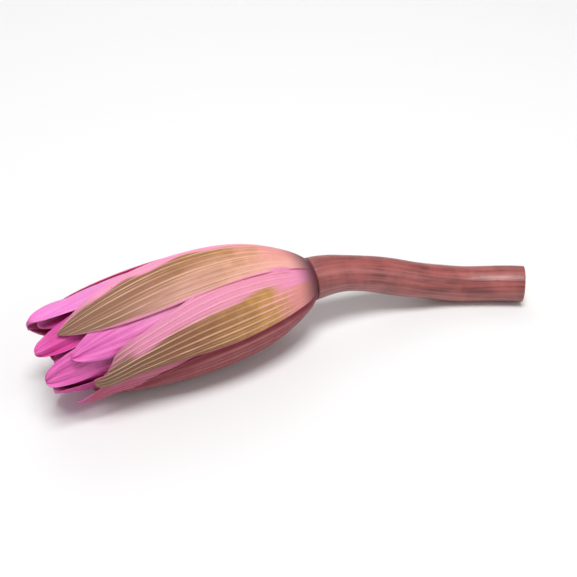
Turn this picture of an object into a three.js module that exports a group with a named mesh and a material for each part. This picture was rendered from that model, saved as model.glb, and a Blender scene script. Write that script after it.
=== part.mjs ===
// One cut water lily flower, half open, lying on its side with a short length of its stem.
// Millimetres, +Z up. The flower's axis lies along X and its mouth looks towards -X. The stem runs
// off towards +X, sinks to the surface and bends towards -Y. The origin is at the middle of the
// whole flower's footprint, on the surface it lies on.
//
// The flower is worked out in its own terms: "s" is the distance from the neck along the axis, and
// "azimuth" turns about the axis, 0 looking towards -Y and 90 looking up. Four sepals enclose four
// whorls of four petals. Each whorl is the same barrel drawn further in, so the leaves nest, and
// all of them wind slowly round the axis together.

import * as THREE from "three";

// ---- driving dimensions ----
const NECK_RADIUS = 6.0; // barrel at the foot of the sepals
const BELLY_RADIUS = 17.6; // barrel at its widest
const BELLY_AT = 40; // s of the widest place
const SHOULDER_POWER = 2.4; // how soon the barrel fills out above the neck
const SHOULDER_EASE = 0.8;
const TAPER = 0.0036; // how fast the barrel narrows past the belly, per mm squared
const WINDING = -46; // degrees that a leaf has wound round the axis at WINDING_AT
const WINDING_AT = 80;
const PRESSED = 0.6; // the under side is pressed flat by this much where it rests
const FLOWER_BASE = new THREE.Vector3(7.54, 1.41, BELLY_RADIUS - PRESSED); // the neck, where s is 0

const SEPAL_THICKNESS = 1.15;
const PETAL_THICKNESS = 0.75;
const FIRST_DEPTH = 1.6; // one sepal and the gap behind it
const WHORL_STEP = 1.25; // one petal and the gap behind it
const EDGE_THINNING = 0.4; // share of the thickness lost at a leaf's edge
const TIP_HALF_WIDTH = 0.45; // every tip is this blunt
const CLEARANCE = 0.35; // between pieces that are grown together in the plant

const OVARY_RADIUS = 3.2;
const OVARY_LENGTH = 16;
const STIGMA_DEPTH = 1.2; // the ovary's end is dished by this much

const STEM_RADIUS = 5.5;
const COLLAR_RADIUS = 6.4; // the stem swells to this below the sepals
const COLLAR_LENGTH = 12;
const STEM_REACH = 65; // how far the stem goes along X
const SINK_FROM = 2; // it sinks to the surface between these two distances
const SINK_TO = 50;
const STEM_BEND = 16; // how far its cut end has bent aside
const BEND_POWER = 2.1;

const STAMEN_COUNT = 12;
const STAMEN_LENGTH = 30;
const STAMEN_FOOT = 13.2; // s at which the ring that carries them begins
const STAMEN_RADIUS = 3.6; // inside of that ring
const STAMEN_SPREAD = 2.6; // how far they bow out
const STAMEN_THICKNESS = 0.8;

// ---- colours and finishes ----
const colours = {
  sepal: { color: 0xb9926b, roughness: 0.55 },
  petal: { color: 0xd65aa8, roughness: 0.5 },
  innerPetal: { color: 0xb02878, roughness: 0.5 },
  stem: { color: 0x8f4c48, roughness: 0.45 },
  ovary: { color: 0xc9a15a, roughness: 0.55 },
  stamen: { color: 0xd9a13c, roughness: 0.6 },
};

function material(name) {
  return new THREE.MeshStandardMaterial({ ...colours[name], metalness: 0, name });
}

// ---- the barrel ----
const radians = THREE.MathUtils.degToRad;
const smooth = THREE.MathUtils.smoothstep;

// Radius of the closed flower at distance s from the neck.
function barrelRadius(s) {
  if (s <= 0) return NECK_RADIUS;
  if (s < BELLY_AT) {
    const filled = 1 - (1 - s / BELLY_AT) ** SHOULDER_POWER;
    return NECK_RADIUS + (BELLY_RADIUS - NECK_RADIUS) * filled ** SHOULDER_EASE;
  }
  return BELLY_RADIUS - TAPER * (s - BELLY_AT) ** 2;
}

// The same barrel drawn in by depth.
function whorlRadius(s, depth) {
  return barrelRadius(s - depth) - depth;
}

// The s at which a leaf of this depth meets the ovary.
function attachment(depth, thickness) {
  let s = depth;
  while (whorlRadius(s, depth) - thickness < OVARY_RADIUS + CLEARANCE) s += 0.1;
  return s;
}

// A point of the flower's own terms, in the row frame.
function fromFlower(s, radius, azimuth) {
  return new THREE.Vector3(
    FLOWER_BASE.x - s,
    FLOWER_BASE.y - radius * Math.cos(azimuth),
    FLOWER_BASE.z + radius * Math.sin(azimuth),
  );
}

// ---- closed solids from grids of points ----
function solid(points, index) {
  const geometry = new THREE.BufferGeometry().setFromPoints(points);
  geometry.setIndex(index);
  geometry.computeVertexNormals();
  return geometry;
}

// Between two sheets of points, joined by a rim. Rows run from foot to tip, columns across.
// A wall that comes back to where it began has no rim along its sides.
function between(outer, inner, comesBack = false) {
  const rows = outer.length;
  const columns = outer[0].length;
  const points = [...outer.flat(), ...inner.flat()];
  const at = (layer, i, j) => (layer * rows + i) * columns + (j % columns);
  const index = [];
  const quad = (a, b, c, d) => index.push(a, b, c, a, c, d);
  const steps = comesBack ? columns : columns - 1;
  for (let j = 0; j < steps; j++) {
    for (let i = 0; i < rows - 1; i++) {
      quad(at(0, i, j), at(0, i, j + 1), at(0, i + 1, j + 1), at(0, i + 1, j));
      quad(at(1, i, j), at(1, i + 1, j), at(1, i + 1, j + 1), at(1, i, j + 1));
    }
    quad(at(0, 0, j), at(1, 0, j), at(1, 0, j + 1), at(0, 0, j + 1));
    quad(at(0, rows - 1, j), at(0, rows - 1, j + 1), at(1, rows - 1, j + 1), at(1, rows - 1, j));
  }
  for (let i = 0; i < rows - 1 && !comesBack; i++) {
    quad(at(0, i, 0), at(0, i + 1, 0), at(1, i + 1, 0), at(1, i, 0));
    quad(at(0, i, steps), at(1, i, steps), at(1, i + 1, steps), at(0, i + 1, steps));
  }
  return solid(points, index);
}

// Through rings of points, with a cap on the first and the last.
function loft(rings) {
  const sides = rings[0].length;
  const points = rings.flat();
  const middle = (ring) => {
    const sum = ring.reduce((total, p) => total.add(p), new THREE.Vector3());
    return sum.divideScalar(sides);
  };
  points.push(middle(rings[0]), middle(rings[rings.length - 1]));
  const first = points.length - 2;
  const lastRing = (rings.length - 1) * sides;
  const index = [];
  for (let j = 0; j < sides; j++) {
    const next = (j + 1) % sides;
    for (let base = 0; base < lastRing; base += sides) {
      index.push(base + j, base + next, base + next + sides);
      index.push(base + j, base + next + sides, base + j + sides);
    }
    index.push(first, next, j, first + 1, lastRing + j, lastRing + next);
  }
  return solid(points, index);
}

// ---- sepals and petals ----
// azimuth: where the leaf stands about the axis at its foot. spread: half its width, as an angle.
// lean: how much more than the winding its tip has turned. tip: s of its tip. flare: how far the
// tip has moved out. power and point shape the outline: the lower, the sooner it narrows and the
// blunter it ends. Where a leaf needs them, sway bows it aside half way up, hook turns only its
// tip, narrow takes that share of its width away past narrowFrom, and oblique sets one corner of
// its end back by so many millimetres.
const plain = { lean: 0, flare: 0, sway: 0, hook: 0, narrow: 0, narrowFrom: 0.2, oblique: 0 };

const sepals = [
  { name: "top", azimuth: 98, spread: 33, lean: 5, tip: 75.8, power: 5, point: 0.8 },
  { name: "front", azimuth: 33, spread: 26, lean: 4, sway: 5, hook: -2, tip: 69.8, flare: 0.8,
    power: 40, point: 0.5, narrow: 0.38, narrowFrom: 0.4, oblique: 4.5 },
  { name: "under", azimuth: -51, spread: 51, lean: 8, tip: 68, power: 3.2, point: 0.75 },
  { name: "back", azimuth: 208, spread: 45, tip: 73, power: 3.2, point: 0.75 },
];

const whorls = [
  {
    name: "outer_petal",
    petals: [
      { azimuth: 68, spread: 33, lean: 2, tip: 74, flare: 0.6, power: 4, point: 0.6 },
      { azimuth: -6, spread: 29, lean: 10, tip: 74.2, flare: 2.8, power: 3, point: 0.8 },
      { azimuth: 262, spread: 46, tip: 77, power: 4, point: 0.5 },
      { azimuth: 154, spread: 47, lean: -4, hook: -6, tip: 81.6, flare: 1.0, power: 3.6, point: 0.6 },
    ],
  },
  {
    name: "second_petal",
    petals: [
      { azimuth: 104, spread: 23, lean: -4, tip: 82.6, flare: 0.3, power: 8, point: 0.4 },
      { azimuth: 56, spread: 21, tip: 82, flare: 1.4, power: 9, point: 0.4 },
      { azimuth: -22, spread: 45, tip: 79, power: 8, point: 0.4 },
      { azimuth: 206, spread: 46, tip: 81.2, power: 7, point: 0.4 },
    ],
  },
  {
    name: "third_petal",
    petals: [
      { azimuth: 68, spread: 33, tip: 78, flare: -1.0, power: 8, point: 0.4 },
      { azimuth: -3, spread: 33, tip: 78, flare: -0.6, power: 8, point: 0.4 },
      { azimuth: 262, spread: 44, tip: 77, flare: -0.6, power: 8, point: 0.4 },
      { azimuth: 158, spread: 46, tip: 79, flare: -0.6, power: 8, point: 0.4 },
    ],
  },
  {
    name: "inner_petal",
    petals: [
      { azimuth: 105, spread: 33, tip: 74, flare: -1.4, power: 5, point: 0.5 },
      { azimuth: 34, spread: 33, tip: 73, flare: -1.4, power: 5, point: 0.5 },
      { azimuth: -50, spread: 42, tip: 74, flare: -1.4, power: 5, point: 0.5 },
      { azimuth: 208, spread: 44, tip: 75, flare: -1.4, power: 5, point: 0.5 },
    ],
  },
];

const FLARE_FROM = 0.8; // share of its length at which a leaf begins to move in or out

// The outer face of a leaf at u (0 foot, 1 tip) and v (-1 to 1 across).
function leafPoint(leaf, u, v) {
  const setBack = (leaf.oblique * (v + 1) * smooth(u, 0.7, 1)) / 2;
  const s = THREE.MathUtils.lerp(leaf.foot, leaf.tip, u) - setBack;
  const radius = whorlRadius(s, leaf.depth) + leaf.flare * smooth(u, FLARE_FROM, 1);
  const narrowing = 1 - leaf.narrow * smooth(u, leaf.narrowFrom, 0.85);
  const outline = radians(leaf.spread) * narrowing * (1 - u ** leaf.power) ** leaf.point;
  const half = Math.max(outline, TIP_HALF_WIDTH / radius);
  const turned = leaf.lean * u ** 2 + leaf.sway * Math.sin(Math.PI * u) + leaf.hook * u ** 9;
  const wound = WINDING * (s / WINDING_AT) ** 2 + turned;
  return fromFlower(s, radius, radians(leaf.azimuth + wound) + v * half);
}

// The face behind it, as far in along the barrel's own normal as the leaf is thick.
function innerPoint(leaf, u, v) {
  const point = leafPoint(leaf, u, v);
  const s = FLOWER_BASE.x - point.x;
  const slope = (whorlRadius(s + 0.1, leaf.depth) - whorlRadius(s - 0.1, leaf.depth)) / 0.2;
  const outwards = point.clone().sub(FLOWER_BASE).setX(0).normalize().setX(slope).normalize();
  const thickness = leaf.thickness * (1 - EDGE_THINNING * v * v);
  return point.addScaledVector(outwards, -thickness);
}

function leafGeometry(leaf, rows, columns) {
  const sheet = (point) =>
    Array.from({ length: rows + 1 }, (_, i) => {
      const u = (1 - Math.cos((Math.PI * i) / rows)) / 2; // closer together at both ends
      return Array.from({ length: columns + 1 }, (_, j) => point(leaf, u, (2 * j) / columns - 1));
    });
  const outer = sheet(leafPoint);
  for (const p of outer.flat()) p.z = Math.max(p.z, 0); // pressed flat by the surface
  return between(outer, sheet(innerPoint));
}

const flower = new THREE.Group();

function addMesh(name, geometry, finish) {
  const mesh = new THREE.Mesh(geometry, material(finish));
  mesh.name = name;
  flower.add(mesh);
}

function addLeaf(name, leaf, depth, thickness, finish, rows, columns) {
  const whole = { ...plain, ...leaf, depth, thickness, foot: attachment(depth, thickness) };
  addMesh(name, leafGeometry(whole, rows, columns), finish);
}

for (const sepal of sepals) {
  const [rows, columns] = sepal.name === "under" ? [22, 20] : [15, 8];
  addLeaf(`sepal_${sepal.name}`, sepal, 0, SEPAL_THICKNESS, "sepal", rows, columns);
}

whorls.forEach((whorl, k) => {
  const depth = FIRST_DEPTH + k * WHORL_STEP;
  const finish = k < 2 ? "petal" : "innerPetal";
  whorl.petals.forEach((petal, i) => {
    addLeaf(`${whorl.name}_${i + 1}`, petal, depth, PETAL_THICKNESS, finish, 12, 6);
  });
});

// ---- stem and ovary ----
const STEM_SIDES = 16;
const STEM_STEPS = 22;
const OVARY_SIDES = 12;

// A ring of corners about a point, square to a direction, with a flat side downwards.
function ring(centre, direction, radius, sides) {
  const side = new THREE.Vector3(0, 0, 1).cross(direction).normalize();
  const down = side.clone().cross(direction).normalize();
  const reach = radius / Math.cos(Math.PI / sides); // the flats have the radius, the corners more
  return Array.from({ length: sides }, (_, j) => {
    const turn = ((j + 0.5) / sides) * 2 * Math.PI;
    const corner = centre.clone().addScaledVector(down, reach * Math.cos(turn));
    return corner.addScaledVector(side, reach * Math.sin(turn));
  });
}

// The middle of the stem at distance x from the neck, measured along X.
function stemMiddle(x) {
  const sunk = (STEM_RADIUS - FLOWER_BASE.z) * smooth(x, SINK_FROM, SINK_TO);
  const bent = -STEM_BEND * (x / STEM_REACH) ** BEND_POWER;
  return new THREE.Vector3(x, bent, sunk).add(FLOWER_BASE);
}

function stemGeometry() {
  const rings = Array.from({ length: STEM_STEPS + 1 }, (_, i) => {
    const x = THREE.MathUtils.lerp(STEM_REACH, CLEARANCE, i / STEM_STEPS);
    const direction = stemMiddle(x - 0.1).sub(stemMiddle(x + 0.1)).normalize();
    const swell = (COLLAR_RADIUS - STEM_RADIUS) * (1 - smooth(x, 0, COLLAR_LENGTH));
    return ring(stemMiddle(x), direction, STEM_RADIUS + swell, STEM_SIDES);
  });
  return loft(rings);
}

function ovaryGeometry() {
  const outline = [
    [0, 1],
    [0.5, 1],
    [0.85, 1],
    [1, 0.72],
  ];
  const towardsMouth = new THREE.Vector3(-1, 0, 0);
  const rings = outline.map(([share, width]) =>
    ring(fromFlower(share * OVARY_LENGTH, 0, 0), towardsMouth, OVARY_RADIUS * width, OVARY_SIDES),
  );
  const dish = fromFlower(OVARY_LENGTH - STIGMA_DEPTH, 0, 0);
  rings.push(ring(dish, towardsMouth, OVARY_RADIUS * 0.3, OVARY_SIDES));
  return loft(rings);
}

addMesh("stem", stemGeometry(), "stem");
addMesh("ovary", ovaryGeometry(), "ovary");

// ---- stamens: flat filaments, grown together into a ring at the foot ----
function stamenGeometry() {
  const perStamen = 4;
  const ringHeight = 2;
  const heights = [0, 0.35, 0.7, 1];
  const sheet = (extra) =>
    [-1, ...heights].map((height) =>
      Array.from({ length: STAMEN_COUNT * perStamen }, (_, j) => {
        const raised = j % perStamen < 2 ? Math.max(height, 0) : 0;
        const settle = height < 0 ? 0 : ringHeight + 0.2 * Math.max(height, 0);
        const radius = STAMEN_RADIUS + STAMEN_SPREAD * Math.sin(2.4 * raised) + extra;
        const azimuth = (j / (STAMEN_COUNT * perStamen)) * 2 * Math.PI;
        return fromFlower(STAMEN_FOOT + settle + raised * STAMEN_LENGTH, radius, azimuth);
      }),
    );
  return between(sheet(STAMEN_THICKNESS), sheet(0), true);
}

addMesh("stamens", stamenGeometry(), "stamen");

export default flower;
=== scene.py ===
import math
import bpy
import numpy as np
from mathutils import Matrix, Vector


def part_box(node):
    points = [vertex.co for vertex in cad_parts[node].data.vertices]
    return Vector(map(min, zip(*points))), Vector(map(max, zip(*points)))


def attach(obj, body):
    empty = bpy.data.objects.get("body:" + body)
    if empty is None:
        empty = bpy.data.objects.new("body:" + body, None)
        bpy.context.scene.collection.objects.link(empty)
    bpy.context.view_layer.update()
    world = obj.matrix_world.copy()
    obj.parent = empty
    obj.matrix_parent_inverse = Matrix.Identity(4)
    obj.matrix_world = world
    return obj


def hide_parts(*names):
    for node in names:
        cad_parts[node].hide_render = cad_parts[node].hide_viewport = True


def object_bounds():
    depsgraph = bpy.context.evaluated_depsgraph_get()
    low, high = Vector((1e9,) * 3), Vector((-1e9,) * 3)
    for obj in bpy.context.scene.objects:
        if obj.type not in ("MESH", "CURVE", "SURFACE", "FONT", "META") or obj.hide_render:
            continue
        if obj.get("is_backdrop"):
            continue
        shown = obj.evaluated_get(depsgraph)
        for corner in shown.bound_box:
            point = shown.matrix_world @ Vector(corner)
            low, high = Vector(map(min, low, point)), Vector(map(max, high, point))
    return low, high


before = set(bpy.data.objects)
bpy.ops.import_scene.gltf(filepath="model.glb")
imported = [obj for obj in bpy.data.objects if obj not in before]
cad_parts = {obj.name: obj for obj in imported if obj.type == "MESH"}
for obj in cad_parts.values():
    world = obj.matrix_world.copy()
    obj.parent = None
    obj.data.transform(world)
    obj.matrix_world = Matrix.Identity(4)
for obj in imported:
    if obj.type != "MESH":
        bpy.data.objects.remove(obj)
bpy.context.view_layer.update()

millimetre = 0.001


# the flower's own terms: s runs from the neck to the tips, azimuth turns about the axis

barrel = dict(
    neckRadius=6.0, bellyRadius=17.6, bellyAt=40.0,      # millimetres
    shoulderPower=2.4, shoulderEase=0.8, taper=0.0036,
    winding=-46.0, windingAt=80.0,                       # degrees of turn, and the s it is reached at
    firstDepth=1.6, whorlStep=1.25,
    ovaryRadius=3.2, clearance=0.35,
)

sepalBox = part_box("sepal_top")
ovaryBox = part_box("ovary")
neck = np.array([
    sepalBox[1][0],
    (ovaryBox[0][1] + ovaryBox[1][1]) / 2,
    (ovaryBox[0][2] + ovaryBox[1][2]) / 2,
])


def smoothStep(x, start, end):
    t = np.clip((x - start) / (end - start), 0, 1)
    return t * t * (3 - 2 * t)


# radius = neck + swell * (1 - (1 - s/bellyAt)^power)^ease up to the belly, then a parabola
def barrelRadius(s):
    s = np.asarray(s, float)
    filled = 1 - np.clip(1 - s / barrel["bellyAt"], 0, 1) ** barrel["shoulderPower"]
    swell = barrel["bellyRadius"] - barrel["neckRadius"]
    rising = barrel["neckRadius"] + swell * filled ** barrel["shoulderEase"]
    falling = barrel["bellyRadius"] - barrel["taper"] * (s - barrel["bellyAt"]) ** 2
    return np.where(s < barrel["bellyAt"], rising, falling)


def whorlRadius(s, depth):
    return barrelRadius(np.maximum(s - depth, 0)) - depth


def attachment(depth, thickness):
    s = depth
    while depth and whorlRadius(s, depth) - thickness < barrel["ovaryRadius"] + barrel["clearance"]:
        s += 0.05
    return s


# x = neck - s, and y, z turn about the axis by the azimuth, all to metres
def fromFlower(s, radius, azimuth):
    x = neck[0] - s * millimetre
    y = neck[1] - radius * np.cos(azimuth) * millimetre
    z = neck[2] + radius * np.sin(azimuth) * millimetre
    return np.stack(np.broadcast_arrays(x, y, z), axis=-1)


# outward normal of the barrel beneath a point = its direction from the axis, tilted by the slope
def barrelNormal(points, depth):
    s = (neck[0] - points[..., 0]) / millimetre
    normal = points - neck
    normal[..., 0] = 0
    normal /= np.linalg.norm(normal, axis=-1, keepdims=True)
    normal[..., 0] = (whorlRadius(s + 0.1, depth) - whorlRadius(s - 0.1, depth)) / 0.2
    return normal / np.linalg.norm(normal, axis=-1, keepdims=True)


# sum of a few seeded sine waves over two directions, between about -1 and 1
def waves(a, b, seed, low, high, count=5):
    rng = np.random.default_rng(seed)
    total = np.zeros(np.broadcast(a, b).shape)
    for _ in range(count):
        fa, fb = rng.uniform(low[0], high[0]), rng.uniform(low[1], high[1])
        total = total + np.sin(fa * a + fb * b + rng.uniform(0, 2 * math.pi))
    return total / count ** 0.5 / 1.2


# meshes

def newPiece(name, points, quads, material, node=None, attributes=None, uv=None):
    mesh = bpy.data.meshes.new(name)
    points = np.asarray(points, np.float32)
    quads = np.asarray(quads, np.int32)
    mesh.vertices.add(len(points))
    mesh.vertices.foreach_set("co", points.ravel())
    mesh.loops.add(quads.size)
    mesh.loops.foreach_set("vertex_index", quads.ravel())
    mesh.polygons.add(len(quads))
    mesh.polygons.foreach_set("loop_start", np.arange(len(quads), dtype=np.int32) * quads.shape[1])
    mesh.update(calc_edges=True)
    mesh.polygons.foreach_set("use_smooth", np.ones(len(quads), bool))
    for key, values in (attributes or {}).items():
        layer = mesh.attributes.new(key, "FLOAT", "POINT")
        layer.data.foreach_set("value", np.asarray(values, np.float32).ravel())
    if uv is not None:
        layer = mesh.uv_layers.new(name="leafMap")
        layer.data.foreach_set("uv", np.asarray(uv, np.float32)[quads.ravel()].ravel())
    mesh.validate()
    piece = bpy.data.objects.new(name, mesh)
    bpy.context.scene.collection.objects.link(piece)
    mesh.materials.append(material)
    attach(piece, "root")
    if node:
        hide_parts(node)
    return piece


# quads of a rows by columns grid of vertices, optionally closed round the columns
def gridQuads(rows, columns, start=0, closed=False):
    strips = columns if closed else columns - 1
    i, j = np.meshgrid(np.arange(rows - 1), np.arange(strips), indexing="ij")
    a = start + i * columns + j
    b = start + i * columns + (j + 1) % columns
    return np.stack([a, b, b + columns, a + columns], axis=-1).reshape(-1, 4)


# rim quads joining the borders of two equal grids that lie one behind the other
def rimQuads(rows, columns):
    border = np.concatenate([
        np.arange(columns),
        np.arange(1, rows) * columns + columns - 1,
        (rows - 1) * columns + np.arange(columns - 2, -1, -1),
        np.arange(rows - 2, 0, -1) * columns,
    ])
    following = np.roll(border, -1)
    back = rows * columns
    return np.stack([following, border, border + back, following + back], axis=-1)


# shader helpers

def shaderColour(red, green, blue):
    def linear(value):
        value /= 255
        return value / 12.92 if value <= 0.04045 else ((value + 0.055) / 1.055) ** 2.4
    return (linear(red), linear(green), linear(blue), 1.0)


def addNode(tree, kind, x=0, y=0, **settings):
    node = tree.nodes.new(kind)
    node.location = (x, y)
    for key, value in settings.items():
        setattr(node, key, value)
    return node


def mathNode(tree, operation, first, second=None, clamp=False):
    node = addNode(tree, "ShaderNodeMath", operation=operation, use_clamp=clamp)
    for index, value in enumerate((first, second)):
        if value is None:
            continue
        if isinstance(value, (int, float)):
            node.inputs[index].default_value = value
        else:
            tree.links.new(value, node.inputs[index])
    return node.outputs[0]


def mixColour(tree, amount, first, second, blend="MIX"):
    node = addNode(tree, "ShaderNodeMix", data_type="RGBA", blend_type=blend)
    for socket, value in ((node.inputs[0], amount), (node.inputs[6], first), (node.inputs[7], second)):
        if isinstance(value, (int, float, tuple)):
            socket.default_value = value
        else:
            tree.links.new(value, socket)
    return node.outputs[2]


def rampNode(tree, value, stops, interpolation="LINEAR"):
    node = addNode(tree, "ShaderNodeValToRGB")
    node.color_ramp.interpolation = interpolation
    elements = node.color_ramp.elements
    while len(elements) < len(stops):
        elements.new(0.5)
    for element, (position, colour) in zip(elements, stops):
        element.position = position
        element.color = colour
    tree.links.new(value, node.inputs[0])
    return node.outputs[0]


def remap(tree, value, low, high, newLow=0.0, newHigh=1.0):
    node = addNode(tree, "ShaderNodeMapRange", interpolation_type="SMOOTHSTEP")
    for index, number in ((1, low), (2, high), (3, newLow), (4, newHigh)):
        node.inputs[index].default_value = number
    tree.links.new(value, node.inputs[0])
    return node.outputs[0]


def attributeNode(tree, name):
    return addNode(tree, "ShaderNodeAttribute", attribute_name=name).outputs["Fac"]


def newGroup(name, inputs, outputs):
    group = bpy.data.node_groups.new(name, "ShaderNodeTree")
    for label, value in inputs:
        socket = group.interface.new_socket(name=label, in_out="INPUT", socket_type="NodeSocketFloat")
        socket.default_value = value
    for label in outputs:
        group.interface.new_socket(name=label, in_out="OUTPUT", socket_type="NodeSocketFloat")
    return group, addNode(group, "NodeGroupInput").outputs, addNode(group, "NodeGroupOutput").inputs


# thin lines that run from foot to tip: noise on the leaf map, stretched a long way along it
def makeVeinGroup():
    group, given, result = newGroup("fineVeins", [("Fineness", 60.0), ("Length", 2.5)], ["Lines"])
    leafMap = addNode(group, "ShaderNodeUVMap", uv_map="leafMap")
    apart = addNode(group, "ShaderNodeSeparateXYZ")
    joined = addNode(group, "ShaderNodeCombineXYZ")
    group.links.new(leafMap.outputs[0], apart.inputs[0])
    group.links.new(mathNode(group, "MULTIPLY", apart.outputs[0], given["Fineness"]), joined.inputs[0])
    group.links.new(mathNode(group, "MULTIPLY", apart.outputs[1], given["Length"]), joined.inputs[1])
    noise = addNode(group, "ShaderNodeTexNoise")
    noise.inputs["Scale"].default_value = 1.0
    noise.inputs["Detail"].default_value = 3.0
    noise.inputs["Roughness"].default_value = 0.6
    group.links.new(joined.outputs[0], noise.inputs["Vector"])
    group.links.new(remap(group, noise.outputs[0], 0.32, 0.68), result["Lines"])
    return group


# soft patches and small dark specks: two noises on object coordinates, cut at a threshold
def makeMottleGroup():
    group, given, result = newGroup("livingMottle", [("Patch Size", 260.0), ("Speck Size", 1500.0)],
                                    ["Patches", "Specks"])
    place = addNode(group, "ShaderNodeTexCoord")
    patches = addNode(group, "ShaderNodeTexNoise")
    patches.inputs["Detail"].default_value = 4.0
    specks = addNode(group, "ShaderNodeTexNoise")
    specks.inputs["Detail"].default_value = 2.0
    for noise, size in ((patches, "Patch Size"), (specks, "Speck Size")):
        group.links.new(place.outputs["Object"], noise.inputs["Vector"])
        group.links.new(given[size], noise.inputs["Scale"])
    group.links.new(remap(group, patches.outputs[0], 0.3, 0.7), result["Patches"])
    group.links.new(remap(group, specks.outputs[0], 0.66, 0.78), result["Specks"])
    return group


veinGroup = makeVeinGroup()
mottleGroup = makeMottleGroup()


def useGroup(tree, group, **values):
    node = addNode(tree, "ShaderNodeGroup", node_tree=group)
    for key, value in values.items():
        node.inputs[key].default_value = value
    return node.outputs


def newMaterial(name, roughness, coat=0.0, subsurface=0.0):
    material = bpy.data.materials.new(name)
    material.use_nodes = True
    tree = material.node_tree
    shader = tree.nodes["Principled BSDF"]
    shader.inputs["Roughness"].default_value = roughness
    shader.inputs["Coat Weight"].default_value = coat
    shader.inputs["Coat Roughness"].default_value = 0.35
    shader.inputs["Subsurface Weight"].default_value = subsurface
    shader.inputs["Subsurface Scale"].default_value = 0.002
    shader.inputs["Subsurface Radius"].default_value = (1.0, 0.35, 0.4)
    return material, tree, shader


def bumpInto(tree, shader, height, strength, distance):
    bump = addNode(tree, "ShaderNodeBump")
    bump.inputs["Strength"].default_value = strength
    bump.inputs["Distance"].default_value = distance
    tree.links.new(height, bump.inputs["Height"])
    tree.links.new(bump.outputs[0], shader.inputs["Normal"])


# sepals: pale ribs over a groove colour that runs from peach foot to grey-tan tip, pink edges, with
# painted shade at the neck end, along the low edge and on the sepals that face down or away

# foot is a painted shade colour: the dark purple neck end of each sepal
# shade is a painted shade colour: the dark crimson of sepals lying in shadow
sepalLook = dict(
    foot=(88, 36, 54), blush=(230, 146, 140), body=(196, 138, 82), olive=(206, 152, 74),
    middle=(158, 104, 70), tip=(152, 118, 98), edge=(238, 144, 186), ribFoot=(242, 184, 170),
    rib=(232, 188, 148), ribTip=(206, 170, 142), inside=(206, 78, 130), shade=(126, 22, 44),
    groove=(92, 48, 32), roughness=0.52, coat=0.08, subsurface=0.05,
)


def makeSepalMaterial():
    look = {key: shaderColour(*value) for key, value in sepalLook.items() if isinstance(value, tuple)}
    material, tree, shader = newMaterial(
        "sepalSkin", sepalLook["roughness"], sepalLook["coat"], sepalLook["subsurface"])
    along = attributeNode(tree, "along")
    ribs = attributeNode(tree, "rib")
    veins = useGroup(tree, veinGroup, Fineness=110.0, Length=3.0)["Lines"]
    mottle = useGroup(tree, mottleGroup)
    wandering = mathNode(tree, "ADD", along, mathNode(
        tree, "MULTIPLY", mathNode(tree, "SUBTRACT", mottle["Patches"], 0.5), 0.1))
    groove = rampNode(tree, wandering, [
        (0.0, look["blush"]), (0.2, look["blush"]), (0.36, look["body"]),
        (0.66, look["middle"]), (1.0, look["tip"])])
    olive = rampNode(tree, wandering, [
        (0.0, look["blush"]), (0.14, look["blush"]), (0.28, look["olive"]),
        (0.62, look["middle"]), (1.0, look["tip"])])
    groove = mixColour(tree, attributeNode(tree, "gold"), groove, olive)
    rib = rampNode(tree, wandering, [
        (0.0, look["ribFoot"]), (0.3, look["ribFoot"]), (0.5, look["rib"]),
        (1.0, look["ribTip"])])
    # deepest between the ribs, past the blushing foot
    deep = mathNode(tree, "MULTIPLY", remap(tree, ribs, 0.3, 0.0), remap(tree, wandering, 0.12, 0.6))
    groove = mixColour(tree, mathNode(tree, "MULTIPLY", deep, 0.36), groove, look["groove"])
    colour = mixColour(tree, mathNode(tree, "MULTIPLY", remap(tree, ribs, 0.05, 0.8), 0.9), groove, rib)
    colour = mixColour(tree, attributeNode(tree, "peach"), colour, look["ribFoot"])
    bands = useGroup(tree, veinGroup, Fineness=34.0, Length=2.0)["Lines"]
    streaks = mathNode(tree, "MULTIPLY", mathNode(tree, "MULTIPLY", veins, mathNode(
        tree, "ADD", bands, 0.25)), remap(tree, wandering, 0.12, 0.45, 0.12, 0.7))
    colour = mixColour(tree, streaks, colour, mixColour(tree, 0.45, look["middle"], look["groove"]))
    pink = mixColour(tree, mathNode(tree, "MULTIPLY", ribs, 0.5), look["edge"], look["ribFoot"])
    colour = mixColour(tree, attributeNode(tree, "edge"), colour, pink)
    # painted shadow line in magenta along the low edge near the foot, where the sepal lies over the
    # next one
    colour = mixColour(tree, attributeNode(tree, "seamShade"), colour, look["inside"])
    # painted shade: the first part of each sepal, at the neck, darkens to dark purple
    colour = mixColour(tree, remap(tree, along, 0.12, 0.0), colour, look["foot"])
    # painted shade: sepals that face down or away turn dark crimson, their ribs a little pinker
    colour = mixColour(tree, mathNode(tree, "MULTIPLY", attributeNode(tree, "shade"), 0.92),
                       colour,
                       mixColour(tree, mathNode(tree, "MULTIPLY", ribs, 0.35), look["shade"],
                                 look["blush"]))
    colour = mixColour(tree, mathNode(tree, "MULTIPLY", mottle["Specks"], 0.3), colour, look["groove"])
    colour = mixColour(tree, attributeNode(tree, "inside"), colour, look["inside"])
    tree.links.new(colour, shader.inputs["Base Color"])
    tree.links.new(remap(tree, mottle["Patches"], 0, 1, sepalLook["roughness"] - 0.06,
                         sepalLook["roughness"] + 0.1), shader.inputs["Roughness"])
    bumpInto(tree, shader, mathNode(tree, "ADD", veins, mathNode(
        tree, "MULTIPLY", mottle["Patches"], 0.4)), 0.4, 0.00025)
    return material


# petals: fine veins over a colour that runs from pale foot to vivid tip, with painted shade on the
# inner face and on a shaded outer petal

# insideFoot and inside: the petal's own magenta darkened with painted shade; shade is a painted shade
# colour
petalLook = dict(
    footOuter=(240, 168, 176), pale=(240, 158, 198), vivid=(214, 50, 150), orchid=(236, 130, 206),
    insideFoot=(190, 70, 112), inside=(140, 16, 70), vein=(176, 34, 108), edge=(238, 120, 196),
    shade=(150, 40, 70),
    roughness=0.46, coat=0.05, subsurface=0.1,
)


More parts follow.
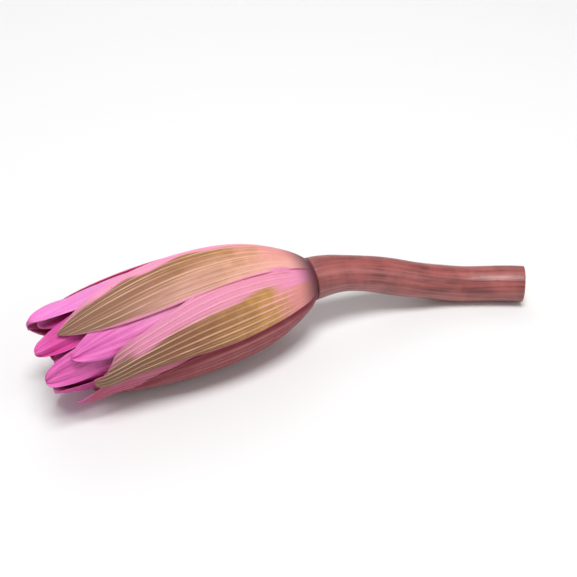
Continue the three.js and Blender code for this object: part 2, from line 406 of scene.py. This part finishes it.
def makePetalMaterial():
    look = {key: shaderColour(*value) for key, value in petalLook.items() if isinstance(value, tuple)}
    material, tree, shader = newMaterial(
        "petalSkin", petalLook["roughness"], petalLook["coat"], petalLook["subsurface"])
    along = attributeNode(tree, "along")
    veins = useGroup(tree, veinGroup, Fineness=46.0, Length=2.0)["Lines"]
    mottle = useGroup(tree, mottleGroup)
    tone = mixColour(tree, attributeNode(tree, "blush"), look["orchid"], look["vivid"])
    wandering = mathNode(tree, "ADD", along, mathNode(
        tree, "MULTIPLY", mathNode(tree, "SUBTRACT", mottle["Patches"], 0.5), 0.1))
    spread = remap(tree, wandering, 0.45, 0.92)
    outer = mixColour(tree, spread, mixColour(tree, remap(tree, wandering, 0.0, 0.45),
                                              look["footOuter"], look["pale"]), tone)
    outer = mixColour(tree, mathNode(tree, "MULTIPLY", veins, 0.24), outer, look["vein"])
    # painted shade: a petal lying in shadow goes dark crimson on its outer face, its veins toward the
    # pale foot colour
    outer = mixColour(tree, attributeNode(tree, "shade"), outer, mixColour(
        tree, mathNode(tree, "MULTIPLY", veins, 0.35), look["shade"], look["footOuter"]))
    # painted shade: the inner face takes the dark magenta of the shaded cup, deepening from foot to tip
    inner = mixColour(tree, remap(tree, along, 0.1, 0.6), look["insideFoot"], look["inside"])
    colour = mixColour(tree, attributeNode(tree, "inside"), outer, inner)
    colour = mixColour(tree, mathNode(tree, "MULTIPLY", attributeNode(tree, "edge"), 0.45),
                       colour, look["edge"])
    tree.links.new(colour, shader.inputs["Base Color"])
    bumpInto(tree, shader, veins, 0.3, 0.00018)
    return material


sepalMaterial = makeSepalMaterial()
petalMaterial = makePetalMaterial()
print("leaf materials made")


# sepals and petals

leafGrid = dict(sepalRows=150, sepalColumns=121, petalRows=110, petalColumns=65)

# azimuth: where the leaf stands about the axis, in degrees. spread: half its width, as an angle.
# tip: how far along the axis it ends. lean turns the whole leaf towards its tip, sway bows it aside
# and hook turns only the tip. flare moves the tip out, and rise all of the leaf past its foot.
# power, point, narrow and narrowFrom shape the outline, and oblique sets one corner of the end
# back. lift raises the low edge, tuck sinks the high edge, and fold rolls that out near the foot.
# pinkLow and pinkHigh: where across the leaf its two pink edges begin, and how strong they are.
# peach and gold: how strong those colours are. shade: how strongly painted shade darkens a sepal that
# faces down or away.
sepals = [
    dict(node="sepal_top", azimuth=97, spread=34, lean=6, tip=75.8, flare=0, power=5, point=0.8,
         lift=0.5, tuck=0, fold=0, sway=0, hook=0, pinkLow=(0.88, 0.6), pinkHigh=(0.5, 1.0),
         peach=0.65, shade=0.0, gold=0.45, seed=11),
    dict(node="sepal_front", azimuth=33, spread=31, lean=4, tip=69.8, flare=0.8, power=40, point=0.5,
         narrow=0.36, narrowFrom=0.4, oblique=5.0,
         lift=0.1, tuck=0, fold=1.2, sway=5, hook=-2, pinkLow=(0.9, 0.0), pinkHigh=(0.1, 0.85),
         peach=0.0, shade=0.0, gold=1.0, seed=12),
    dict(node="sepal_under", azimuth=-54, spread=54, lean=12, tip=68.5, flare=0, power=4.2, point=0.7,
         lift=-0.2, tuck=0.9, fold=0, sway=8, hook=0, pinkLow=(0.85, 0.3), pinkHigh=(0.9, 0.2),
         peach=0.0, shade=1.0, gold=0.3, seed=13),
    dict(node="sepal_back", azimuth=196, spread=60, lean=0, tip=73, flare=0, power=4.2, point=0.75,
         narrow=0.3, narrowFrom=0.0,
         lift=0, tuck=0, fold=0, sway=0, hook=0, pinkLow=(0.6, 0.9), pinkHigh=(0.7, 0.8),
         peach=0.4, shade=0.3, gold=0.5, seed=14),
]

# ruffle and curl are in millimetres: how far the edge waves, and how far it rolls out near the tip.
# twist tips one edge in and the other out near the end. blush: how deep the magenta is.
# shade: how strongly painted shade darkens a petal's outer face
petals = [
    [
        dict(azimuth=68, spread=33, lean=2, tip=74, flare=0.6, power=4, point=0.6, rise=0.45,
             ruffle=0.35, curl=0.2, blush=0.42),
        dict(azimuth=-6, spread=29, lean=10, tip=74.2, flare=2.8, power=3, point=0.8, twist=2.4,
             ruffle=0.2, curl=0.1, blush=1.0, shade=0.85),
        dict(azimuth=262, spread=46, lean=0, tip=77, flare=0, power=4, point=0.5,
             ruffle=0.6, curl=0.3, blush=0.9),
        dict(azimuth=154, spread=47, lean=-4, tip=81.6, flare=1.0, power=3.6, point=0.6, hook=-6,
             ruffle=0.4, curl=0.4, blush=0.0),
    ],
    [
        dict(azimuth=104, spread=25, lean=-6, tip=82.4, flare=0.3, power=8, point=0.4,
             ruffle=0.8, curl=0.7, blush=0.85),
        dict(azimuth=56, spread=24, lean=0, tip=81.6, flare=1.6, power=9, point=0.34,
             twist=0.6, ruffle=0.5, curl=0.6, blush=0.55),
        dict(azimuth=-22, spread=46, lean=0, tip=79, flare=0, power=8, point=0.4,
             ruffle=0.8, curl=0.5, blush=0.9),
        dict(azimuth=206, spread=48, lean=0, tip=81.2, flare=0, power=7, point=0.4,
             ruffle=0.8, curl=0.4, blush=0.9),
    ],
    [
        dict(azimuth=68, spread=34, lean=0, tip=78, flare=-1.0, power=8, point=0.36,
             ruffle=0.35, curl=0.2, blush=1.0),
        dict(azimuth=-3, spread=34, lean=0, tip=78, flare=-0.6, power=8, point=0.36,
             ruffle=0.35, curl=0.2, blush=1.0),
        dict(azimuth=262, spread=44, lean=0, tip=77, flare=-0.6, power=8, point=0.36,
             ruffle=0.35, curl=0.2, blush=1.0),
        dict(azimuth=158, spread=46, lean=0, tip=79, flare=-0.6, power=8, point=0.36,
             ruffle=0.35, curl=0.2, blush=1.0),
    ],
    [
        dict(azimuth=105, spread=34, lean=0, tip=74, flare=-1.4, power=5, point=0.5,
             ruffle=0.3, curl=0.1, blush=1.0),
        dict(azimuth=34, spread=34, lean=0, tip=73, flare=-1.4, power=5, point=0.5,
             ruffle=0.3, curl=0.1, blush=1.0),
        dict(azimuth=-50, spread=42, lean=0, tip=74, flare=-1.4, power=5, point=0.5,
             ruffle=0.3, curl=0.1, blush=1.0),
        dict(azimuth=208, spread=44, lean=0, tip=75, flare=-1.4, power=5, point=0.5,
             ruffle=0.3, curl=0.1, blush=1.0),
    ],
]
whorlNames = ["outer_petal", "second_petal", "third_petal", "inner_petal"]

ribRelief = dict(count=9, height=0.3, sharpness=6.5, reach=0.9, minor=0.4)


# rib profile = a raised cosine across the leaf whose spacing drifts, fading at edges, foot and tip
def ribHeight(leaf, u, v):
    drift = 0.10 * waves(u, v, leaf["seed"] + 100, (1, 1), (4, 5)) * (1 - v ** 2)
    phase = (v * outline(leaf, u) ** 0.55 + drift * 0.35) * ribRelief["count"] / ribRelief["reach"] / 2
    ridge = (0.5 + 0.5 * np.cos(2 * math.pi * phase)) ** ribRelief["sharpness"]
    between = (0.5 - 0.5 * np.cos(2 * math.pi * phase)) ** 6 * ribRelief["minor"]
    between = between * smoothStep(waves(u, v, leaf["seed"] + 400, (1, 6), (3, 14)), -0.2, 0.6)
    ridge = (ridge + between) * (0.78 + 0.32 * waves(u, v, leaf["seed"] + 200, (3, 4), (9, 14)))
    across = 1 - smoothStep(np.abs(v), ribRelief["reach"] - 0.1, ribRelief["reach"] + 0.08)
    return np.clip(ridge, 0, 1) * across * smoothStep(u, 0.03, 0.25)


# width as a share of the widest = a slow narrowing times (1 - u^power)^point
def outline(leaf, u):
    narrowing = 1 - leaf.get("narrow", 0) * smoothStep(u, leaf.get("narrowFrom", 0.2), 0.85)
    return narrowing * (1 - u ** leaf["power"]) ** leaf["point"]


# outer face: the whorl's barrel between foot and tip, plus flare, relief and ruffle
def leafSurface(leaf, u, v):
    s = leaf["foot"] + (leaf["tip"] - leaf["foot"]) * u
    s = s - leaf.get("oblique", 0) * (v + 1) / 2 * smoothStep(u, 0.7, 1)
    radius = whorlRadius(s, leaf["depth"]) + leaf["flare"] * smoothStep(u, 0.8, 1)
    radius = radius + leaf["relief"](leaf, u, v) + leaf.get("rise", 0) * smoothStep(u, 0.2, 0.5)
    half = np.maximum(math.radians(leaf["spread"]) * outline(leaf, u), 0.3 / radius)
    radius = radius - leaf.get("twist", 0) * v * smoothStep(u, 0.6, 0.92) * outline(leaf, u)
    wound = barrel["winding"] * (s / barrel["windingAt"]) ** 2 + leaf["lean"] * u ** 2
    wound = wound + leaf.get("sway", 0) * np.sin(math.pi * u) + leaf.get("hook", 0) * u ** 9
    points = fromFlower(s, radius, np.radians(leaf["azimuth"] + wound) + v * half)
    points[..., 2] = np.maximum(points[..., 2], 0)
    return points


# ribs stand up from the leaf, one edge lifts off its neighbour, the other tucks in or folds over
def sepalRelief(leaf, u, v):
    relief = ribRelief["height"] * (ribHeight(leaf, u, v) - 1) * smoothStep(u, 0.0, 0.15)
    lifted = leaf["lift"] * smoothStep(-v, 0.75, 1.0) * smoothStep(u, 0.02, 0.1) * (
        1 - 0.85 * smoothStep(u, 0.35, 0.5))
    tucked = leaf["tuck"] * smoothStep(v, 0.78, 0.94) * smoothStep(u, 0.02, 0.1)
    folded = leaf["fold"] * smoothStep(v, 0.7, 0.98) * np.exp(-((u - 0.17) / 0.05) ** 2)
    return relief + lifted - tucked + folded + 0.1 * waves(u, v, leaf["seed"], (4, 1), (14, 4))


# waves grow towards the tip and the edges, which roll outwards a little
def petalRelief(leaf, u, v):
    near = smoothStep(u, 0.72, 1)
    ruffle = leaf["ruffle"] * waves(u, v, leaf["seed"], (3, 3), (10, 9)) * near
    roll = leaf["curl"] * (np.abs(v) ** 3 * near + 0.8 * smoothStep(u, 0.94, 1.0))
    ridges = 0.07 * np.cos(v * 22) * smoothStep(u, 0.1, 0.4)
    return ruffle + roll + ridges - 0.25 * np.abs(v) ** 3 * (1 - near)


# a leaf = its outer face, the same face moved in along the normal, and a rim between them
def buildLeaf(name, leaf, rows, columns, material, slot):
    u = ((1 - np.cos(np.linspace(0, math.pi, rows))) / 2)[:, None]
    v = np.sin(np.linspace(-math.pi / 2, math.pi / 2, columns))[None, :]
    v = 0.5 * v + 0.5 * np.linspace(-1, 1, columns)[None, :]
    u, v = np.broadcast_arrays(u, v)
    outer = leafSurface(leaf, u, v)
    inward = -barrelNormal(outer, leaf["depth"])
    thickness = leaf["thickness"] * (1 - 0.7 * v ** 4) * (1 - 0.5 * u ** 6)
    inner = outer + inward * thickness[..., None] * millimetre
    points = np.concatenate([outer.reshape(-1, 3), inner.reshape(-1, 3)])
    count = rows * columns
    quads = np.concatenate([
        gridQuads(rows, columns),
        gridQuads(rows, columns, count)[:, ::-1],
        rimQuads(rows, columns),
    ])
    twice = lambda values: np.concatenate([values.ravel(), values.ravel()])
    side = np.concatenate([np.zeros(count), np.ones(count)])
    if slot == "sepal":
        (lowFrom, lowShare), (highFrom, highShare) = leaf["pinkLow"], leaf["pinkHigh"]
        blur = 0.12 * waves(u, v, leaf["seed"] + 300, (8, 2), (30, 8))
        edge = (lowShare * smoothStep(-v + blur * 0.3, lowFrom, 0.98)
                + highShare * smoothStep(v + blur, highFrom, 0.3 + 0.65 * highFrom))
        edge = np.clip(edge, 0, 1) * (1 - 0.6 * smoothStep(u, 0.78, 1))
        # painted shadow line along the low edge near the foot, where the sepal lies over its neighbour
        seamShade = 0.6 * smoothStep(-v, 0.955, 0.99) * (1 - smoothStep(u, 0.5, 0.75))
        # shade: how much painted shade the sepal takes, the same all over it
        own = dict(rib=twice(ribHeight(leaf, u, v)), seamShade=twice(seamShade),
                   shade=np.full(2 * count, leaf["shade"]),
                   gold=np.full(2 * count, leaf["gold"]),
                   peach=twice(leaf["peach"] * smoothStep(-v + blur, -0.3, 0.9)
                               * (1 - smoothStep(u, 0.5, 0.85))))
    else:
        edge = smoothStep(np.maximum(np.abs(v), u), 0.93, 1.0)
        # shade: painted shade on the petal's outer face, the same all over it
        own = dict(blush=np.full(2 * count, leaf["blush"]),
                   shade=np.full(2 * count, leaf.get("shade", 0)))
    attributes = dict(along=twice(u), edge=twice(edge), inside=side, **own)
    leafMap = np.stack([twice(v / 2 + 0.5), twice(u)], axis=-1)
    leafMap[:, 0] += leaf["seed"] * 1.37
    return newPiece(name, points, quads, material, leaf["node"], attributes, leafMap)


for leaf in sepals:
    leaf.update(depth=0.0, foot=0.0, thickness=1.0, relief=sepalRelief)
    buildLeaf(leaf["node"] + "_skin", leaf, leafGrid["sepalRows"], leafGrid["sepalColumns"],
              sepalMaterial, "sepal")
print("sepals built")

for k, whorl in enumerate(petals):
    depth = barrel["firstDepth"] + k * barrel["whorlStep"]
    for i, leaf in enumerate(whorl):
        leaf.update(node=f"{whorlNames[k]}_{i + 1}", depth=depth, foot=attachment(depth, 0.75),
                    thickness=0.6, seed=20 + 4 * k + i, relief=petalRelief)
        buildLeaf(leaf["node"] + "_skin", leaf, leafGrid["petalRows"], leafGrid["petalColumns"],
                  petalMaterial, "petal" if k < 2 else "inner_petal")
print("petals built")


# stem: a round tube along its route, flared at the collar, cut square with air canals in the face

stem = dict(
    radius=5.5, collarRadius=6.4, collarLength=12.0, reach=65.0, sinkFrom=2.0, sinkTo=50.0,
    bend=16.0, bendPower=2.1, rows=200, sides=112, cutRings=60,
    skin=(150, 74, 72), dark=(104, 44, 46), pale=(196, 116, 108), cutFace=(214, 178, 140),
    canalShade=(96, 56, 44), canals=6, canalRadius=0.95, canalRing=2.6, canalDepth=3.5,
)


def stemMiddle(x):
    sunk = (stem["radius"] - neck[2] / millimetre) * smoothStep(x, stem["sinkFrom"], stem["sinkTo"])
    bent = -stem["bend"] * np.clip(x / stem["reach"], 0, None) ** stem["bendPower"]
    return neck + np.stack([x, bent, sunk], axis=-1) * millimetre


# unit vectors along the stem, to its side and downwards, at distance x from the neck
def stemFrame(x):
    ahead = stemMiddle(x + 0.1) - stemMiddle(x - 0.1)
    ahead /= np.linalg.norm(ahead, axis=-1, keepdims=True)
    side = np.cross(np.array([0.0, 0.0, 1.0]), ahead)
    side /= np.linalg.norm(side, axis=-1, keepdims=True)
    return ahead, side, np.cross(side, ahead)


def makeStemMaterial():
    look = {key: shaderColour(*value) for key, value in stem.items() if isinstance(value, tuple)}
    material, tree, shader = newMaterial("stemSkin", 0.38, 0.25, 0.05)
    streaks = useGroup(tree, veinGroup, Fineness=30.0, Length=2.2)["Lines"]
    mottle = useGroup(tree, mottleGroup, **{"Patch Size": 180.0, "Speck Size": 1100.0})
    colour = mixColour(tree, mottle["Patches"], look["dark"], look["skin"])
    colour = mixColour(tree, mathNode(tree, "MULTIPLY", streaks, 0.45), colour, look["pale"])
    colour = mixColour(tree, mathNode(tree, "MULTIPLY", mottle["Specks"], 0.5), colour, look["dark"])
    # painted shade in the air canal pits of the cut face
    face = mixColour(tree, attributeNode(tree, "canalShade"), look["cutFace"], look["canalShade"])
    face = mixColour(tree, attributeNode(tree, "ringEdge"), face, look["skin"])
    colour = mixColour(tree, attributeNode(tree, "cut"), colour, face)
    tree.links.new(colour, shader.inputs["Base Color"])
    bumpInto(tree, shader, mathNode(tree, "ADD", streaks, mottle["Patches"]), 0.3, 0.0002)
    return material


def buildStem():
    x = np.linspace(0.36, stem["reach"], stem["rows"])
    ahead, side, down = stemFrame(x)
    turn = np.linspace(0, 2 * math.pi, stem["sides"], endpoint=False)[None, :]
    swell = (stem["collarRadius"] - stem["radius"]) * (1 - smoothStep(x, 0, stem["collarLength"]))
    uneven = 0.12 * waves(x[:, None] * 0.12, np.cos(turn) * 2, 5, (1, 0.5), (3, 2)) - 0.06
    radius = (stem["radius"] + swell)[:, None] + uneven * smoothStep(x, 4, 14)[:, None]
    middle = stemMiddle(x)[:, None, :]
    wall = middle + millimetre * radius[..., None] * (
        down[:, None, :] * np.cos(turn)[..., None] + side[:, None, :] * np.sin(turn)[..., None])
    # cut face: rings from the rim to the middle, sunk where an air canal runs
    share = np.linspace(1, 0.02, stem["cutRings"])[:, None]
    rim = radius[-1][None, :] * share
    flatX, flatY = rim * np.cos(turn), rim * np.sin(turn)
    sunk = np.zeros_like(flatX)
    for n in range(stem["canals"]):
        angle = 2 * math.pi * n / stem["canals"] + 0.3
        for ring, size, offset in ((stem["canalRing"], stem["canalRadius"], 0.0),
                                   (4.25, 0.38, math.pi / stem["canals"])):
            gap = np.hypot(flatX - ring * math.cos(angle + offset),
                           flatY - ring * math.sin(angle + offset))
            sunk = np.maximum(sunk, 1 - smoothStep(gap, size * 0.8, size * 1.1))
    gap = np.hypot(flatX, flatY)
    sunk = np.maximum(sunk, 1 - smoothStep(gap, 0.45, 0.7))
    face = (stemMiddle(x[-1]) + millimetre * (
        flatX[..., None] * down[-1] + flatY[..., None] * side[-1]
        - (sunk * stem["canalDepth"] + 0.12 * smoothStep(1 - share, 0, 0.1))[..., None] * ahead[-1]))
    points = np.concatenate([wall.reshape(-1, 3), face[1:].reshape(-1, 3)])
    rows = stem["rows"] + stem["cutRings"] - 1
    quads = gridQuads(rows, stem["sides"], closed=True)
    points[:, 2] = np.maximum(points[:, 2], 0)
    columns = stem["sides"]
    wallCount = stem["rows"] * columns
    onCut = np.concatenate([np.zeros(wallCount), np.ones(len(points) - wallCount)])
    # where the cut face sinks into a canal pit, painted dark as shade
    canalShade = np.concatenate([np.zeros(wallCount), sunk[1:].ravel()])
    ringEdge = np.concatenate([np.zeros(wallCount),
                               (smoothStep(share, 0.88, 0.97) + 0 * sunk)[1:].ravel()])
    along = np.concatenate([np.repeat(x / stem["reach"], columns), np.ones(len(points) - wallCount)])
    around = np.tile(turn.ravel() / (2 * math.pi), rows)
    # the ends of the tube are closed by fans of narrow quads that meet in the middle
    neckEnd = len(points)
    points = np.concatenate([points, [stemMiddle(x[0])], [face[-1].mean(axis=0)]])
    fan = np.arange(columns)
    following = np.roll(fan, -1)
    last = (rows - 1) * columns
    caps = np.concatenate([
        np.stack([np.full(columns, neckEnd), following, fan], axis=-1),
        np.stack([np.full(columns, neckEnd + 1), last + fan, last + following], axis=-1),
    ])
    triangles = np.concatenate([quads[:, [0, 1, 2]], quads[:, [0, 2, 3]], caps])
    pad = lambda values, extra: np.concatenate([values, extra])
    attributes = dict(cut=pad(onCut, [0, 1]), canalShade=pad(canalShade, [0, 1]), ringEdge=pad(ringEdge, [0, 0]))
    leafMap = np.stack([pad(around, [0, 0]), pad(along, [0, 1])], axis=-1)
    return newPiece("stem_skin", points, triangles[:, ::-1], makeStemMaterial(), "stem",
                    attributes, leafMap)


buildStem()
print("stem built")


# ovary, deep inside

ovary = dict(ridges=12, sides=96, rows=60, dark=(176, 120, 70), pale=(214, 176, 104))


def makeInsideMaterial(name, first, second, roughness):
    material, tree, shader = newMaterial(name, roughness, 0.0, 0.1)
    mottle = useGroup(tree, mottleGroup, **{"Patch Size": 400.0})
    colour = mixColour(tree, mottle["Patches"], first, second)
    colour = mixColour(tree, mathNode(tree, "MULTIPLY", mottle["Specks"], 0.4), colour, first)
    tree.links.new(colour, shader.inputs["Base Color"])
    bumpInto(tree, shader, mottle["Patches"], 0.3, 0.0002)
    return material


# radius follows a profile of s and carries shallow ridges; the end is dished like a saucer
def buildOvary():
    profile = np.array([[0.0, 0.02], [0.05, 3.0], [1.0, 3.15], [8.0, 3.2], [12.5, 3.2], [15.2, 3.15],
                        [16.0, 2.9], [15.9, 2.3], [15.2, 1.6], [14.9, 0.8], [14.8, 0.02]])
    t = np.linspace(0, 1, ovary["rows"])
    at = np.linspace(0, 1, len(profile))
    s = np.interp(t, at, profile[:, 0])[:, None]
    radius = np.interp(t, at, profile[:, 1])[:, None]
    turn = -np.linspace(0, 2 * math.pi, ovary["sides"], endpoint=False)[None, :]
    ridge = 0.12 * (0.5 - 0.5 * np.cos(ovary["ridges"] * turn)) * smoothStep(s, 10, 15)
    points = fromFlower(s + 0 * turn, radius - ridge * smoothStep(radius, 0.3, 1), turn + 0 * s)
    quads = gridQuads(ovary["rows"], ovary["sides"], closed=True)
    material = makeInsideMaterial("ovaryFlesh", shaderColour(*ovary["dark"]),
                                  shaderColour(*ovary["pale"]), 0.5)
    return newPiece("ovary_skin", points.reshape(-1, 3), quads, material, "ovary")


buildOvary()
print("ovary built")


# stamens: flat filaments bowing out from a low ring, each with a long pale anther near its end

stamens = dict(
    count=38, rows=48, sides=10, foot=13.2, ringHeight=2.2, length=29.6, radius=3.95, spread=2.35,
    filament=(196, 66, 104), anther=(226, 168, 74), tip=(214, 92, 120),
)


def makeStamenMaterial():
    look = {key: shaderColour(*value) for key, value in stamens.items() if isinstance(value, tuple)}
    material, tree, shader = newMaterial("stamenSkin", 0.55, 0.0, 0.1)
    mottle = useGroup(tree, mottleGroup, **{"Patch Size": 500.0})
    colour = mixColour(tree, attributeNode(tree, "anther"), look["filament"], look["anther"])
    colour = mixColour(tree, remap(tree, attributeNode(tree, "along"), 0.94, 1.0), colour, look["tip"])
    colour = mixColour(tree, mathNode(tree, "MULTIPLY", mottle["Patches"], 0.3), colour,
                       look["filament"])
    tree.links.new(colour, shader.inputs["Base Color"])
    bumpInto(tree, shader, mottle["Patches"], 0.2, 0.0001)
    return material


# radius = ring + spread * sin(2.4 t), with width and thickness swelling where the anther lies
def buildStamens():
    rng = np.random.default_rng(7)
    count, rows, sides = stamens["count"], stamens["rows"], stamens["sides"]
    t = np.linspace(0, 1, rows)[None, :, None]
    phi = np.linspace(0, 2 * math.pi, sides, endpoint=False)[None, None, :]
    vary = lambda low, high: rng.uniform(low, high, count)[:, None, None]
    azimuth = ((np.arange(count) + 0.5) / count * 2 * math.pi)[:, None, None] + vary(-0.05, 0.05)
    reach = stamens["length"] * vary(0.78, 1.0)
    anther = smoothStep(t, 0.58, 0.64) * (1 - smoothStep(t, 0.9, 0.94))
    ends = np.sqrt(np.clip(1 - (2 * t - 1) ** 24, 0.004, 1))
    width = (0.42 - 0.2 * t + 0.12 * anther) * ends
    depth = (0.12 + 0.14 * anther * (0.6 + 0.4 * np.cos(2 * phi))) * ends
    s = stamens["foot"] + 1.2 + reach * t
    swing = vary(-0.06, 0.06) * np.sin(3 * t) + vary(-0.05, 0.05) * t ** 2
    middle = stamens["radius"] + stamens["spread"] * np.sin(2.4 * t) * vary(0.8, 1.0)
    radius = middle + depth * np.sin(phi)
    turn = azimuth + swing + width * np.cos(phi) / middle
    points = fromFlower(s + 0 * phi, radius, turn).reshape(count, -1, 3)
    size = rows * sides
    ends = np.stack([points[:, :sides].mean(axis=1), points[:, -sides:].mean(axis=1)], axis=1)
    points = np.concatenate([points, ends], axis=1)
    quads = gridQuads(rows, sides, closed=True)
    fan = np.arange(sides)
    following = np.roll(fan, -1)
    caps = np.concatenate([
        np.stack([np.full(sides, size), following, fan], axis=-1),
        np.stack([np.full(sides, size + 1), size - sides + fan, size - sides + following], axis=-1),
    ])
    one = np.concatenate([quads[:, [0, 1, 2]], quads[:, [0, 2, 3]], caps])
    faces = (one[None] + (np.arange(count) * (size + 2))[:, None, None]).reshape(-1, 3)
    shade = np.broadcast_to(anther, (count, rows, sides)).reshape(count, -1)
    along = np.broadcast_to(t, (count, rows, sides)).reshape(count, -1)
    nothing = np.zeros((count, 2))
    shade, along = (np.concatenate([a, nothing], axis=1).ravel() for a in (shade, along))
    # the ring: a rounded band turned about the axis
    around = np.linspace(0, 2 * math.pi, 96, endpoint=False)[:, None]
    loop = np.linspace(0, 2 * math.pi, 16, endpoint=False)[None, :]
    squared = lambda x: np.sign(x) * np.abs(x) ** 0.6
    band = fromFlower(stamens["foot"] + 1.1 + 1.1 * squared(np.cos(loop)) + 0 * around,
                      4.0 + 0.36 * squared(np.sin(loop)) + 0 * around, around + 0 * loop)
    ring = gridQuads(97, 16, closed=True) % (96 * 16) + count * (size + 2)
    faces = np.concatenate([faces, ring[:, [0, 1, 2]], ring[:, [0, 2, 3]]])
    points = np.concatenate([points.reshape(-1, 3), band.reshape(-1, 3)])
    extra = np.zeros(96 * 16)
    return newPiece("stamens_skin", points, faces, makeStamenMaterial(), "stamens",
                    dict(anther=np.concatenate([shade, extra]), along=np.concatenate([along, extra])))


buildStamens()
print("stamens built")


# floor, light and camera

view = dict(azimuth=-24.0, elevation=40.0, lens=70.0, distance=0.325, shiftX=0.0, shiftY=0.0)


def makeFloor():
    mesh = bpy.data.meshes.new("floor")
    size = 3.0
    corners = [(-size, -size, 0), (size, -size, 0), (size, size, 0), (-size, size, 0)]
    mesh.from_pydata(corners, [], [(0, 1, 2, 3)])
    floor = bpy.data.objects.new("floor", mesh)
    bpy.context.scene.collection.objects.link(floor)
    material, tree, shader = newMaterial("paleFloor", 0.85)
    shader.inputs["Base Color"].default_value = (0.82, 0.82, 0.82, 1)
    mesh.materials.append(material)
    floor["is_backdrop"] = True


def addLight(name, place, target, size, power, colour=(1, 1, 1)):
    data = bpy.data.lights.new(name, "AREA")
    data.shape = "DISK"
    data.size = size
    data.energy = power
    data.color = colour
    light = bpy.data.objects.new(name, data)
    light.location = place
    light.rotation_euler = (Vector(target) - Vector(place)).to_track_quat("-Z", "Y").to_euler()
    bpy.context.scene.collection.objects.link(light)


def makeCamera():
    a, e = math.radians(view["azimuth"]), math.radians(view["elevation"])
    back = Vector((math.sin(a) * math.cos(e), -math.cos(a) * math.cos(e), math.sin(e)))
    low, high = (Vector(corner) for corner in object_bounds())
    data = bpy.data.cameras.new("camera")
    data.lens = view["lens"]
    data.shift_x, data.shift_y = view["shiftX"], view["shiftY"]
    camera = bpy.data.objects.new("camera", data)
    camera.location = (low + high) / 2 + back * view["distance"]
    camera.rotation_euler = back.to_track_quat("Z", "Y").to_euler()
    bpy.context.scene.collection.objects.link(camera)
    bpy.context.scene.camera = camera


makeFloor()
addLight("keyLight", (-0.05, -0.15, 0.85), (0, 0, 0.01), 0.35, 6.0)
addLight("fillLight", (0.5, -0.6, 0.5), (0, 0, 0.01), 0.6, 1.2)
addLight("backLight", (0.1, 0.7, 0.6), (0, 0, 0.01), 0.6, 1.5)
world = bpy.data.worlds.new("softRoom")
world.use_nodes = True
world.node_tree.nodes["Background"].inputs["Color"].default_value = (1, 1, 1, 1)
world.node_tree.nodes["Background"].inputs["Strength"].default_value = 0.34
bpy.context.scene.world = world
makeCamera()
bpy.context.scene.view_settings.view_transform = "Standard"
